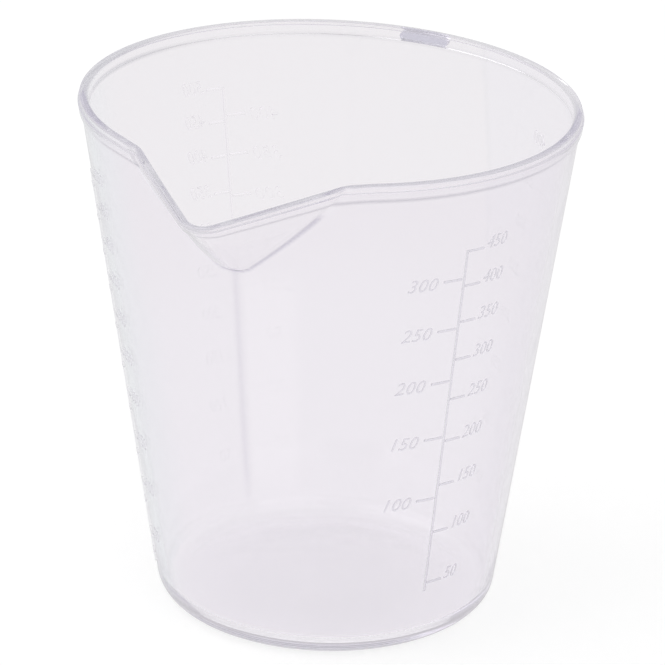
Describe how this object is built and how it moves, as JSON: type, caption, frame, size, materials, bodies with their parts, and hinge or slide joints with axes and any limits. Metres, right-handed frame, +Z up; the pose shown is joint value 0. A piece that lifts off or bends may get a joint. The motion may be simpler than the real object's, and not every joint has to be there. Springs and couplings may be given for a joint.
{
  "type": "resin mixing cup",
  "caption": "Clear tapering moulded cup with a beaded rim, a V-shaped pouring spout, a lug opposite it and raised measuring scales on the wall.",
  "frame": {"origin": "centre of the base on the standing plane", "axes": "+Z up through the mouth, -Y towards the pouring spout, +Y towards the lug, +X to the right when the spout faces the viewer"},
  "size_m": [0.1056, 0.1142, 0.1126],
  "materials": {
    "clear_plastic": "clear, glossy moulded plastic",
    "raised_marks": "clear, slightly frosted raised relief of the same plastic"
  },
  "bodies": {
    "root": {"cup_body": "clear_plastic", "front_right_scale_line": "raised_marks", "front_right_scale_left_marks": "raised_marks", "front_right_scale_right_marks": "raised_marks", "front_left_scale_line": "raised_marks", "front_left_scale_left_marks": "raised_marks", "front_left_scale_right_marks": "raised_marks", "back_left_scale_line": "raised_marks", "back_left_scale_left_marks": "raised_marks", "back_left_scale_right_marks": "raised_marks", "back_right_scale_line": "raised_marks", "back_right_scale_left_marks": "raised_marks", "back_right_scale_right_marks": "raised_marks"}
  },
  "joints": []
}
